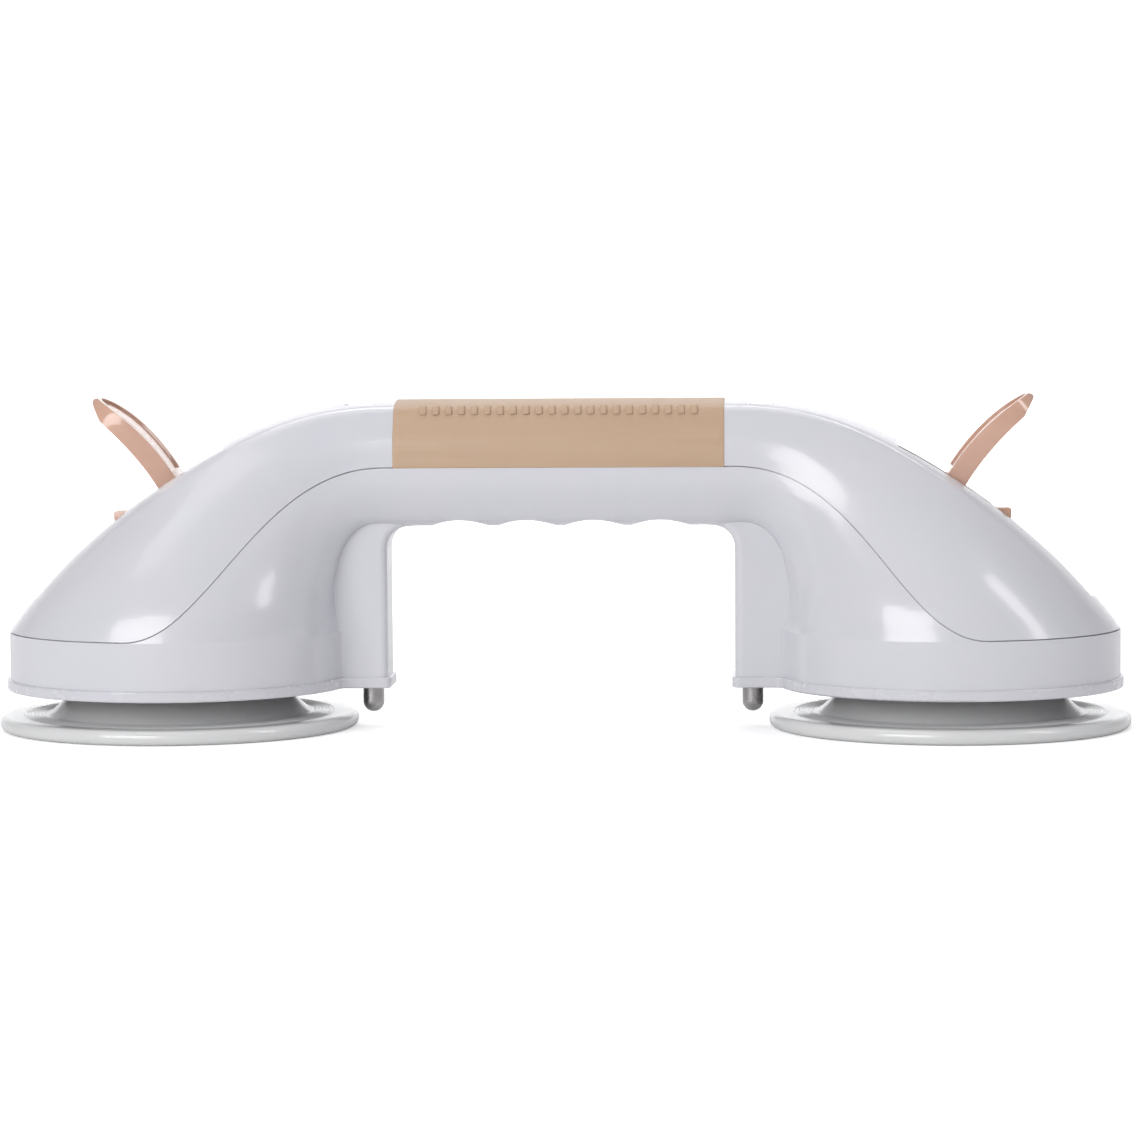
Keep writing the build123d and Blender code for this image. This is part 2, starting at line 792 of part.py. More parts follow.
def make_indicator_flag():
    """Coloured block on the rod, which comes up under the window as the pin is pushed in."""
    head_top = window_floor - lens_thickness - cup_lift - 0.6
    with BuildPart() as flag:
        with BuildSketch(Plane.XY.offset(handle_parting)):
            with Locations((pin_x + 1.4, 0)):
                RectangleRounded(8.0, lens_width - 2.4, 1)
        extrude(amount=rod_top - handle_parting + 1)
        with BuildSketch(Plane.XY.offset(handle_parting)):
            with Locations((window_x, 0)):
                Rectangle(lens_length - 2.2, lens_width - 2.4)
        extrude(amount=head_top - handle_parting)
        with BuildSketch(Plane.XY.offset(handle_parting)):
            with Locations((pin_x, 0)):
                Circle(rod_radius)
        extrude(amount=rod_top - handle_parting, mode=Mode.SUBTRACT)
    return flag.part


def make_indicator_window():
    """Clear lens in the notch on top of the shell."""
    with BuildPart() as window:
        with BuildSketch(Plane.XY.offset(window_floor - lens_thickness)):
            with Locations((window_x, 0)):
                Rectangle(lens_length, lens_width)
        extrude(amount=lens_thickness)
        chamfer(window.faces().sort_by(Axis.Z)[-1].edges(), 0.3)
    return window.part


def save(piece, name):
    """Label one finished piece and write it to its own file."""
    piece.label = name
    export_step(piece, f"parts/{name}.step")


def whole(half):
    """A piece that crosses the middle of the bar, from its right half."""
    with BuildPart() as both:
        add(half)
        mirror(about=Plane.YZ)
    return both.part


def main():
    """Build every piece and write one file for each."""
    os.makedirs("parts", exist_ok=True)
    arch = arch_body()
    hollow = arch_body(-shell_wall)
    above = upper_region()
    save(whole(make_upper_shell(arch, hollow, above)), "upper_shell")
    save(whole(make_lower_shell(arch, hollow, above)), "lower_shell")
    save(whole(grip_layer(grip_proud - grip_thickness, grip_proud)), "grip_cover")

    sided = {
        "base_plate": make_base_plate(),
        "base_screws": make_base_screws(),
        "suction_cup": make_suction_cup(),
        "cup_stem": make_cup_stem(),
        "pivot_pin": make_pivot_pin(),
        "cam_saddle": make_cam_saddle(),
        "lever": make_lever(),
        "indicator_pin": make_indicator_pin(),
        "pin_collar": make_pin_collar(),
        "indicator_spring": make_indicator_spring(),
        "indicator_flag": make_indicator_flag(),
        "indicator_window": make_indicator_window(),
    }
    for name, piece in sided.items():
        save(piece, f"{name}_right")
        save(mirror(piece, about=Plane.YZ), f"{name}_left")


main()
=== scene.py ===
"""Studio scene of the suction grab bar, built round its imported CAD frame.

Every size is in metres, in the frame of the CAD model: +X along the bar, +Z away from the wall.
Pieces whose CAD shape is right keep it and are given a finish here. The cups, the levers and the
grip cover with its ribs are modelled here, in the space that their CAD nodes hold.
"""

import logging
from dataclasses import dataclass
from enum import Enum
from math import cos, pi, radians, sin

import bpy
from mathutils import Matrix, Vector


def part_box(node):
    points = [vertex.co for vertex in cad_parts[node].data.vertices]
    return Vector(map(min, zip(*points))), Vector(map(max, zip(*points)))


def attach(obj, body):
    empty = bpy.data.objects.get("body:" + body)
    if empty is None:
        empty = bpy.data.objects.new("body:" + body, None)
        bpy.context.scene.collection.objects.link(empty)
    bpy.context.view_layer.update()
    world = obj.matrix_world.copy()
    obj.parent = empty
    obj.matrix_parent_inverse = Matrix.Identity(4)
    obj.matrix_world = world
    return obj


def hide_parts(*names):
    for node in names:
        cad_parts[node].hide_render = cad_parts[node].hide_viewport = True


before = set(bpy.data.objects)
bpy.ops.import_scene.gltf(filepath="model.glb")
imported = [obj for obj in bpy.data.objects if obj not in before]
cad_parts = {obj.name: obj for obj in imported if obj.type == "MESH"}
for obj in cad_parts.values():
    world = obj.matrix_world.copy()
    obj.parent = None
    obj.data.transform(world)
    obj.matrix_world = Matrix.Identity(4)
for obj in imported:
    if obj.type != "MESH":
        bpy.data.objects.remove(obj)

MM = 0.001
MERGE_DISTANCE = 0.002 * MM
FLAT_DEGREES = 0.6

log = logging.getLogger("grab_bar")


class Side(Enum):
    """The two ends of the bar, with the sign of their X."""

    LEFT = -1.0
    RIGHT = 1.0

    @property
    def word(self) -> str:
        """The side's word, as node names end with it."""
        return self.name.lower()


class Glow(Enum):
    """Jobs of the studio's soft lights."""

    OVERHEAD = "overhead"
    FRONT = "front"
    RIM = "rim"
    BACK = "back"


# ---- bench work: selecting, turning, copying ---------------------------------------------


def clear_selection() -> None:
    """Deselect every object, the CAD nodes among them."""
    for thing in bpy.context.selected_objects:
        thing.select_set(False)


def take_up(piece: bpy.types.Object) -> None:
    """Make one object the only selected and the active one.

    Args:
        piece: The object to work on.
    """
    clear_selection()
    piece.select_set(True)
    bpy.context.view_layer.objects.active = piece


def settle(piece: bpy.types.Object, smooth_angle: float = 30.0) -> None:
    """Put a piece's place into its mesh and smooth its gentle edges.

    Args:
        piece: The finished piece.
        smooth_angle: Edges flatter than this many degrees are shaded smooth.
    """
    take_up(piece)
    bpy.ops.object.transform_apply(location=True, rotation=True, scale=True)
    bpy.ops.object.shade_smooth_by_angle(angle=radians(smooth_angle))


def hand_in(
    piece: bpy.types.Object, finish: bpy.types.Material, body: str, replaces: str | None = None
) -> None:
    """Dress a piece, tie it to its body and hide the CAD node that it stands for.

    Args:
        piece: The finished piece.
        finish: Its material.
        body: The CAD body that it moves with.
        replaces: The CAD node that it stands for, if any.
    """
    piece.data.materials.clear()
    piece.data.materials.append(finish)
    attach(piece, body)
    if replaces:
        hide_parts(replaces)
    log.info("%s: %d faces, rides on %s", piece.name, len(piece.data.polygons), body)


def dress(node: str, finish: bpy.types.Material) -> None:
    """Give a CAD node its finish.

    Args:
        node: The node's name.
        finish: The material for all of its slots.
    """
    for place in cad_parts[node].material_slots:
        place.material = finish
    log.info("%s: CAD shape, finish %s", node, finish.name)


def turned_piece(name: str, profile: list[Vector], centre: Vector, steps: int) -> bpy.types.Object:
    """Turn a half profile about the vertical line through a centre, as on a lathe.

    Args:
        name: Name of the new object.
        profile: Points from the lower end on the axis round to the upper end on the axis.
        centre: A point on the axis.
        steps: Flats round the circle.

    Returns:
        The closed, merged solid, with its normals outwards.
    """
    clear_selection()
    bpy.ops.mesh.primitive_plane_add(size=MM, location=profile[0])
    piece = bpy.context.object
    piece.name = name
    bpy.ops.object.mode_set(mode="EDIT")
    bpy.ops.mesh.merge(type="CENTER")
    for here, there in zip(profile, profile[1:]):
        bpy.ops.mesh.extrude_vertices_move(TRANSFORM_OT_translate={"value": there - here})
    bpy.ops.mesh.select_all(action="SELECT")
    bpy.ops.mesh.spin(steps=steps, angle=2 * pi, center=centre, axis=(0, 0, 1))
    bpy.ops.mesh.select_all(action="SELECT")
    bpy.ops.mesh.remove_doubles(threshold=MERGE_DISTANCE)
    bpy.ops.mesh.normals_make_consistent(inside=False)
    bpy.ops.object.mode_set(mode="OBJECT")
    return piece


def merged_copy(node: str, name: str) -> bpy.types.Object:
    """A workable copy of a CAD node: its loose triangles are merged and flat ones joined.

    Args:
        node: The CAD node to copy.
        name: Name of the new object.

    Returns:
        The copy, at the origin, with its place in its mesh.
    """
    piece = bpy.data.objects.new(name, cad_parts[node].data.copy())
    bpy.context.scene.collection.objects.link(piece)
    take_up(piece)
    bpy.ops.mesh.customdata_custom_splitnormals_clear()
    bpy.ops.object.mode_set(mode="EDIT")
    bpy.ops.mesh.select_all(action="SELECT")
    bpy.ops.mesh.remove_doubles(threshold=MERGE_DISTANCE)
    bpy.ops.mesh.dissolve_limited(angle_limit=radians(FLAT_DEGREES))
    bpy.ops.object.mode_set(mode="OBJECT")
    return piece


def soften(piece: bpy.types.Object, radius: float, angle: float = 32.0, segments: int = 3) -> None:
    """Round a piece's sharp edges with an applied bevel.

    Args:
        piece: The piece to round.
        radius: Width of the rounding.
        angle: Edges that turn by more than this many degrees are rounded.
        segments: Steps across the rounding.
    """
    take_up(piece)
    rounding = piece.modifiers.new("rounding", "BEVEL")
    rounding.width = radius
    rounding.segments = segments
    rounding.limit_method = "ANGLE"
    rounding.angle_limit = radians(angle)
    rounding.miter_outer = "MITER_ARC"
    bpy.ops.object.modifier_apply(modifier=rounding.name)


# ---- shader groups -----------------------------------------------------------------------


class Shading:
    """Small helper that wires one node tree."""

    def __init__(self, tree: bpy.types.NodeTree) -> None:
        """Work on the given tree.

        Args:
            tree: The tree of a material or of a group.
        """
        self.tree = tree

    def add(self, kind: str, **inputs: object) -> bpy.types.Node:
        """Add a node and set or link its inputs.

        Args:
            kind: The node's type, without its ShaderNode prefix.
            inputs: Input name, with underscores for spaces, to a value or an output socket.

        Returns:
            The new node.
        """
        node = self.tree.nodes.new("ShaderNode" + kind)
        for key, value in inputs.items():
            self.feed(node.inputs[key.replace("_", " ")], value)
        return node

    def feed(self, socket: bpy.types.NodeSocket, value: object) -> None:
        """Set a socket's value, or link it.

        Args:
            socket: The input.
            value: A plain value, or the output socket to link.
        """
        if isinstance(value, bpy.types.NodeSocket):
            self.tree.links.new(value, socket)
        else:
            socket.default_value = value

    def sum(self, operation: str, first: object, second: object) -> bpy.types.NodeSocket:
        """A Math node's result.

        Args:
            operation: The Math node's operation.
            first: First value or socket.
            second: Second value or socket.

        Returns:
            The output socket.
        """
        node = self.tree.nodes.new("ShaderNodeMath")
        node.operation = operation
        self.feed(node.inputs[0], first)
        self.feed(node.inputs[1], second)
        return node.outputs[0]

    def blend(self, share: object, first: object, second: object) -> bpy.types.NodeSocket:
        """A mix of two colours.

        Args:
            share: How much of the second one, as a value or socket.
            first: First colour or socket.
            second: Second colour or socket.

        Returns:
            The output socket.
        """
        node = self.tree.nodes.new("ShaderNodeMix")
        node.data_type = "RGBA"
        self.feed(node.inputs[0], share)
        self.feed(node.inputs[6], first)
        self.feed(node.inputs[7], second)
        return node.outputs[2]


@dataclass(frozen=True)
class GroupSocket:
    """One socket of a shader group."""

    name: str
    kind: str
    default: object = None


class Effect:
    """A shader group that several finishes share, built once."""

    def __init__(self, name: str, inputs: list[GroupSocket], outputs: list[GroupSocket]) -> None:
        """Make the empty group with its sockets.

        Args:
            name: The group's name.
            inputs: Its inputs.
            outputs: Its outputs.
        """
        self.group = bpy.data.node_groups.new(name, "ShaderNodeTree")
        for socket in inputs:
            made = self.group.interface.new_socket(socket.name, in_out="INPUT", socket_type=socket.kind)
            if socket.default is not None:
                made.default_value = socket.default
        for socket in outputs:
            self.group.interface.new_socket(socket.name, in_out="OUTPUT", socket_type=socket.kind)
        self.shading = Shading(self.group)
        self.source = self.group.nodes.new("NodeGroupInput").outputs
        self.result = self.group.nodes.new("NodeGroupOutput").inputs

    def use(self, shading: Shading, **inputs: object) -> bpy.types.Node:
        """Place the group in a material.

        Args:
            shading: The material's wiring helper.
            inputs: Input name, with underscores for spaces, to a value or an output socket.

        Returns:
            The group node.
        """
        node = shading.tree.nodes.new("ShaderNodeGroup")
        node.node_tree = self.group
        for key, value in inputs.items():
            shading.feed(node.inputs[key.replace("_", " ")], value)
        return node


class Effects:
    """The shader groups that the finishes share."""

    def __init__(self) -> None:
        """Build every group once."""
        self.grain = self._moulded_grain()
        self.drift = self._tone_drift()
        self.polish = self._polish()
        self.edges = self._soft_edges()
        self.rings = self._turned_rings()

    @staticmethod
    def _moulded_grain() -> Effect:
        """Height of a moulded surface: a slow waviness with a fine grain on it."""
        effect = Effect(
            "moulded_grain",
            [
                GroupSocket("Wave Size", "NodeSocketFloat", 4.0 * MM),
                GroupSocket("Grain Size", "NodeSocketFloat", 0.4 * MM),
                GroupSocket("Grain Share", "NodeSocketFloat", 0.3),
            ],
            [GroupSocket("Height", "NodeSocketFloat")],
        )
        shading = effect.shading
        place = shading.add("TexCoord").outputs["Object"]
        wave_scale = shading.sum("DIVIDE", 1.0, effect.source["Wave Size"])
        grain_scale = shading.sum("DIVIDE", 1.0, effect.source["Grain Size"])
        wave = shading.add("TexNoise", Vector=place, Scale=wave_scale, Detail=2.0, Roughness=0.45)
        grain = shading.add("TexNoise", Vector=place, Scale=grain_scale, Detail=3.0, Roughness=0.6)
        fine = shading.sum("MULTIPLY", grain.outputs[0], effect.source["Grain Share"])
        shading.feed(effect.result["Height"], shading.sum("ADD", wave.outputs[0], fine))
        return effect

    @staticmethod
    def _tone_drift() -> Effect:
        """A colour that drifts slowly over a moulding and is a little dusty in places."""
        effect = Effect(
            "tone_drift",
            [
                GroupSocket("Color", "NodeSocketColor"),
                GroupSocket("Second Color", "NodeSocketColor"),
                GroupSocket("Patch Size", "NodeSocketFloat", 30.0 * MM),
                GroupSocket("Speck Size", "NodeSocketFloat", 1.2 * MM),
                GroupSocket("Speck Share", "NodeSocketFloat", 0.04),
            ],
            [GroupSocket("Color", "NodeSocketColor")],
        )
        shading = effect.shading
        place = shading.add("TexCoord").outputs["Object"]
        patch_scale = shading.sum("DIVIDE", 1.0, effect.source["Patch Size"])
        speck_scale = shading.sum("DIVIDE", 1.0, effect.source["Speck Size"])
        patches = shading.add("TexNoise", Vector=place, Scale=patch_scale, Detail=3.0, Roughness=0.55)
        slow = shading.blend(patches.outputs[0], effect.source["Color"], effect.source["Second Color"])
        specks = shading.add("TexNoise", Vector=place, Scale=speck_scale, Detail=2.0, Roughness=0.5)
        rare = shading.add("MapRange", Value=specks.outputs[0], From_Min=0.62, From_Max=0.72)
        share = shading.sum("MULTIPLY", rare.outputs[0], effect.source["Speck Share"])
        shading.feed(effect.result["Color"], shading.blend(share, slow, (0.35, 0.34, 0.35, 1.0)))
        return effect

    @staticmethod
    def _polish() -> Effect:
        """Roughness of a handled surface: smudges, and hair scratches that follow the bar."""
        effect = Effect(
            "handled_polish",
            [
                GroupSocket("Roughness", "NodeSocketFloat", 0.3),
                GroupSocket("Smudge", "NodeSocketFloat", 0.08),
                GroupSocket("Scratch", "NodeSocketFloat", 0.06),
            ],
            [GroupSocket("Roughness", "NodeSocketFloat")],
        )
        shading = effect.shading
        place = shading.add("TexCoord").outputs["Object"]
        smudges = shading.add("TexNoise", Vector=place, Scale=55.0, Detail=4.0, Roughness=0.6)
        stretched = shading.add("Mapping", Vector=place, Scale=(60.0, 900.0, 900.0))
        hairs = shading.add("TexNoise", Vector=stretched.outputs[0], Scale=1.0, Detail=2.0, Roughness=0.5)
        thin = shading.add("MapRange", Value=hairs.outputs[0], From_Min=0.6, From_Max=0.72)
        centred = shading.sum("SUBTRACT", smudges.outputs[0], 0.5)
        smudge = shading.sum("MULTIPLY", centred, effect.source["Smudge"])
        scratch = shading.sum("MULTIPLY", thin.outputs[0], effect.source["Scratch"])
        base = shading.sum("ADD", effect.source["Roughness"], smudge)
        shading.feed(effect.result["Roughness"], shading.sum("ADD", base, scratch))
        return effect

    @staticmethod
    def _soft_edges() -> Effect:
        """The rounded normal of a moulded edge, and a mask of where the edges are."""
        effect = Effect(
            "soft_edges",
            [GroupSocket("Radius", "NodeSocketFloat", 0.3 * MM)],
            [GroupSocket("Normal", "NodeSocketVector"), GroupSocket("Mask", "NodeSocketFloat")],
        )
        shading = effect.shading
        bevel = shading.add("Bevel", Radius=effect.source["Radius"])
        bevel.samples = 4
        true_normal = shading.add("NewGeometry").outputs["Normal"]
        turn = shading.tree.nodes.new("ShaderNodeVectorMath")
        turn.operation = "DOT_PRODUCT"
        shading.feed(turn.inputs[0], bevel.outputs[0])
        shading.feed(turn.inputs[1], true_normal)
        mask = shading.add("MapRange", Value=turn.outputs["Value"], From_Min=0.995, From_Max=0.85)
        shading.feed(effect.result["Normal"], bevel.outputs[0])
        shading.feed(effect.result["Mask"], mask.outputs[0])
        return effect

    @staticmethod
    def _turned_rings() -> Effect:
        """Height of the fine tool marks round a vertical turned pin."""
        effect = Effect(
            "turned_rings",
            [GroupSocket("Pitch", "NodeSocketFloat", 0.12 * MM)],
            [GroupSocket("Height", "NodeSocketFloat")],
        )
        shading = effect.shading
        place = shading.add("TexCoord").outputs["Object"]
        upward = shading.add("SeparateXYZ", Vector=place).outputs["Z"]
        wobble = shading.add("TexNoise", Vector=place, Scale=900.0, Detail=2.0)
        turns = shading.sum("DIVIDE", upward, effect.source["Pitch"])
        phase = shading.sum("ADD", turns, wobble.outputs[0])
        wave = shading.sum("SINE", phase, 0.0)
        shading.feed(effect.result["Height"], shading.sum("MULTIPLY_ADD", wave, 0.5))
        return effect


# ---- finishes ----------------------------------------------------------------------------


@dataclass(frozen=True)
class Moulding:
    """A moulded plastic or rubber finish."""

    name: str
    colour: tuple[float, float, float]
    second: tuple[float, float, float]
    roughness: float
    coat: float = 0.0
    coat_roughness: float = 0.08
    grain_depth: float = 0.01 * MM
    wave_size: float = 4.0 * MM
    grain_size: float = 0.4 * MM
    grain_share: float = 0.3
    edge_radius: float = 0.3 * MM
    # strength of the painted highlight: a lighter colour laid along the sharp edges
    painted_edge_highlight: float = 0.25
    smudge: float = 0.08
    scratch: float = 0.05
    specks: float = 0.03
    subsurface: float = 0.0
    subsurface_reach: float = 2.0 * MM
    sheen: float = 0.0

    def make(self, effects: Effects) -> bpy.types.Material:
        """Build the material.

        Args:
            effects: The shared shader groups.

        Returns:
            The new material.
        """
        material = bpy.data.materials.new(self.name)
        material.use_nodes = True
        shading = Shading(material.node_tree)
        shader = material.node_tree.nodes["Principled BSDF"]
        drift = effects.drift.use(
            shading, Color=(*self.colour, 1.0), Second_Color=(*self.second, 1.0), Speck_Share=self.specks
        )
        colour = drift.outputs[0]
        polish = effects.polish.use(
            shading, Roughness=self.roughness, Smudge=self.smudge, Scratch=self.scratch
        )
        shading.feed(shader.inputs["Roughness"], polish.outputs[0])
        grain = effects.grain.use(
            shading, Wave_Size=self.wave_size, Grain_Size=self.grain_size, Grain_Share=self.grain_share
        )
        relief = shading.add("Bump", Distance=self.grain_depth, Height=grain.outputs[0])
        # painted highlight: a lighter copy of the colour is mixed in where the bevel mask finds edges; the
        # bevel also rounds their normals
        if self.painted_edge_highlight:
            edges = effects.edges.use(shading, Radius=self.edge_radius)
            edge_highlight_colour = tuple(min(1.0, value * 1.12) for value in self.colour)
            edge_highlight_share = shading.sum("MULTIPLY", edges.outputs["Mask"], self.painted_edge_highlight)
            colour = shading.blend(edge_highlight_share, colour, (*edge_highlight_colour, 1.0))
            shading.feed(relief.inputs["Normal"], edges.outputs["Normal"])
        shading.feed(shader.inputs["Base Color"], colour)
        shading.feed(shader.inputs["Normal"], relief.outputs[0])
        shader.inputs["Coat Weight"].default_value = self.coat
        shader.inputs["Coat Roughness"].default_value = self.coat_roughness
        shader.inputs["Subsurface Weight"].default_value = self.subsurface
        shader.inputs["Subsurface Radius"].default_value = (1.0, 0.9, 0.85)
        shader.inputs["Subsurface Scale"].default_value = self.subsurface_reach
        shader.inputs["Sheen Weight"].default_value = self.sheen
        return material


@dataclass(frozen=True)
class TurnedSteel:
    """Stainless steel with the marks of the lathe."""

    name: str
    colour: tuple[float, float, float]
    roughness: float
    ring_pitch: float
    ring_depth: float

    def make(self, effects: Effects) -> bpy.types.Material:
        """Build the material.

        Args:
            effects: The shared shader groups.

        Returns:
            The new material.
        """
        material = bpy.data.materials.new(self.name)
        material.use_nodes = True
        shading = Shading(material.node_tree)
        shader = material.node_tree.nodes["Principled BSDF"]
        shader.inputs["Metallic"].default_value = 1.0
        darker = tuple(value * 0.72 for value in self.colour)
        drift = effects.drift.use(
            shading,
            Color=(*self.colour, 1.0),
            Second_Color=(*darker, 1.0),
            Patch_Size=2.5 * MM,
            Speck_Share=0.12,
        )
        shading.feed(shader.inputs["Base Color"], drift.outputs[0])
        polish = effects.polish.use(shading, Roughness=self.roughness, Smudge=0.12, Scratch=0.1)
        shading.feed(shader.inputs["Roughness"], polish.outputs[0])
        rings = effects.rings.use(shading, Pitch=self.ring_pitch)
        relief = shading.add("Bump", Distance=self.ring_depth, Height=rings.outputs[0])
        shading.feed(shader.inputs["Normal"], relief.outputs[0])
        return material


@dataclass(frozen=True)
class ClearLens:
    """Clear moulded lens."""

    name: str
    tint: tuple[float, float, float]

    def make(self, effects: Effects) -> bpy.types.Material:
        """Build the material.

        Args:
            effects: The shared shader groups.

        Returns:
            The new material.
        """
        material = bpy.data.materials.new(self.name)
        material.use_nodes = True
        shading = Shading(material.node_tree)
        shader = material.node_tree.nodes["Principled BSDF"]
        shader.inputs["Base Color"].default_value = (*self.tint, 1.0)
        shader.inputs["Transmission Weight"].default_value = 1.0
        shader.inputs["IOR"].default_value = 1.49
        polish = effects.polish.use(shading, Roughness=0.06, Smudge=0.05, Scratch=0.06)
        shading.feed(shader.inputs["Roughness"], polish.outputs[0])
        return material


@dataclass(frozen=True)
class TwoToneFlag:
    """Printed flag: one colour on its head, another on its foot."""

    name: str
    head: tuple[float, float, float]
    foot: tuple[float, float, float]
    change: float

    def make(self, effects: Effects) -> bpy.types.Material:
        """Build the material.

        Args:
            effects: The shared shader groups.

        Returns:
            The new material.
        """
        material = bpy.data.materials.new(self.name)
        material.use_nodes = True
        shading = Shading(material.node_tree)
        shader = material.node_tree.nodes["Principled BSDF"]
        place = shading.add("TexCoord").outputs["Object"]
        upward = shading.add("SeparateXYZ", Vector=place).outputs["Z"]
        above = shading.sum("GREATER_THAN", upward, self.change)
        printed = shading.blend(above, (*self.foot, 1.0), (*self.head, 1.0))
        drift = effects.drift.use(shading, Color=printed, Second_Color=printed, Speck_Share=0.15)
        shading.feed(shader.inputs["Base Color"], drift.outputs[0])
        polish = effects.polish.use(shading, Roughness=0.42)
        shading.feed(shader.inputs["Roughness"], polish.outputs[0])
        grain = effects.grain.use(shading, Grain_Size=0.25 * MM)
        relief = shading.add("Bump", Distance=0.01 * MM, Height=grain.outputs[0])
        shading.feed(shader.inputs["Normal"], relief.outputs[0])
        return material


class Finishes:
    """All the finishes of the bar, made once."""

    def __init__(self, effects: Effects) -> None:
        """Make every material.

        Args:
            effects: The shared shader groups.
        """
        self.shell = Moulding(
            "shell_gloss_white", (0.655, 0.652, 0.675), (0.625, 0.62, 0.675), 0.24, coat=0.35,
            grain_depth=0.012 * MM, painted_edge_highlight=0.0, scratch=0.012, specks=0.015,
        ).make(effects)
        self.plate = Moulding(
            "plate_gloss_white", (0.64, 0.637, 0.66), (0.62, 0.612, 0.665), 0.27, coat=0.3, painted_edge_highlight=0.0,
            scratch=0.015, specks=0.015,
        ).make(effects)
        self.grip = Moulding(
            "grip_satin_tan", (0.54, 0.375, 0.255), (0.50, 0.34, 0.225), 0.5, grain_depth=0.02 * MM,
            grain_size=0.22 * MM, grain_share=0.9, painted_edge_highlight=0.8, sheen=0.12, smudge=0.14,
        ).make(effects)
        self.lever = Moulding(
            "lever_gloss_peach", (0.64, 0.395, 0.30), (0.60, 0.36, 0.27), 0.16, coat=0.5, coat_roughness=0.05,
            grain_depth=0.008 * MM, subsurface=0.08, painted_edge_highlight=0.35,
        ).make(effects)
        self.cup = Moulding(
            "cup_milky_rubber", (0.72, 0.72, 0.715), (0.68, 0.68, 0.675), 0.2, coat=0.4, coat_roughness=0.12,
            grain_depth=0.01 * MM, subsurface=0.35, subsurface_reach=3.0 * MM, painted_edge_highlight=0.1,
        ).make(effects)
        self.stem = Moulding(
            "stem_nylon_white", (0.70, 0.70, 0.71), (0.64, 0.64, 0.66), 0.45,
            grain_size=0.2 * MM, grain_share=0.7,
        ).make(effects)
        self.saddle = Moulding(
            "saddle_acetal_grey", (0.44, 0.44, 0.46), (0.38, 0.38, 0.40), 0.38, scratch=0.2, smudge=0.15,
        ).make(effects)
        self.steel = TurnedSteel(
            "steel_turned", (0.50, 0.485, 0.475), 0.26, 0.035 * MM, 0.004 * MM
        ).make(effects)
        self.wire = TurnedSteel("steel_wire", (0.56, 0.55, 0.54), 0.3, 0.05 * MM, 0.002 * MM).make(effects)
        self.lens = ClearLens("lens_clear", (0.95, 0.965, 0.97)).make(effects)


# ---- the bar's own pieces ----------------------------------------------------------------


@dataclass
class Casing:
    """The two shells, the base plates and their screws, which keep their CAD shape."""

    finishes: Finishes

    def build(self) -> None:
        """Dress the casing."""
        dress("upper_shell", self.finishes.shell)
        dress("lower_shell", self.finishes.shell)
        for side in Side:
            dress(f"base_plate_{side.word}", self.finishes.plate)
            dress(f"base_screws_{side.word}", self.finishes.wire)
            dress(f"cam_saddle_{side.word}", self.finishes.saddle)


@dataclass
class GripCover:
    """Soft cover over the top half of the handle, with raised ribs along its front and back slopes."""

    finishes: Finishes
    edge_rounding: float = 0.2 * MM
    rib_count: int = 22
    rib_length: float = 3.0 * MM
    rib_width: float = 1.8 * MM
    rib_height: float = 0.45 * MM
    rib_sink: float = 0.25 * MM
    rib_span_share: float = 0.82
    slope_across: float = 12.6 * MM
    slope_below_top: float = 3.0 * MM

    def build(self) -> None:
        """Model the cover and its ribs, and hand them in."""
        cover = merged_copy("grip_cover", "grip_cover_skin")
        soften(cover, self.edge_rounding)
        settle(cover, 35.0)
        low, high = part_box("grip_cover")
        span = (high.x - low.x) * self.rib_span_share
        ribs = []
        for facing in (-1.0, 1.0):
            for step in range(self.rib_count):
                along = -span / 2 + span * step / (self.rib_count - 1)
                near = Vector((along, facing * self.slope_across, high.z - self.slope_below_top))
                ribs.append(self._rib(cover, near))
        take_up(ribs[0])
        for rib in ribs:
            rib.select_set(True)
        bpy.ops.object.join()
        joined = bpy.context.object
        joined.name = "grip_ribs"
        settle(joined, 40.0)
        hand_in(cover, self.finishes.grip, "housing", "grip_cover")
        hand_in(joined, self.finishes.grip, "housing")

    def _rib(self, cover: bpy.types.Object, near: Vector) -> bpy.types.Object:
        """One rib, set on the cover's surface.

        Args:
            cover: The cover that it stands on.
            near: A point close to its place.

        Returns:
            The rib's object.
        """
        _, place, normal, _ = cover.closest_point_on_mesh(near)
        normal = Vector((0.0, normal.y, normal.z)).normalized()
        across = Vector((1.0, 0.0, 0.0))
        uphill = normal.cross(across)
        clear_selection()
        bpy.ops.mesh.primitive_cube_add(size=1.0)
        rib = bpy.context.object
        thickness = self.rib_height + self.rib_sink
        bpy.ops.transform.resize(value=(self.rib_width, self.rib_length, thickness))
        bpy.ops.object.transform_apply(scale=True)
        soften(rib, self.rib_height, segments=3)
        turn = Matrix((across, uphill, normal)).transposed().to_4x4()
        rib.matrix_world = Matrix.Translation(place + normal * (self.rib_height - thickness / 2)) @ turn
        take_up(rib)
        bpy.ops.object.transform_apply(location=True, rotation=True, scale=True)
        return rib


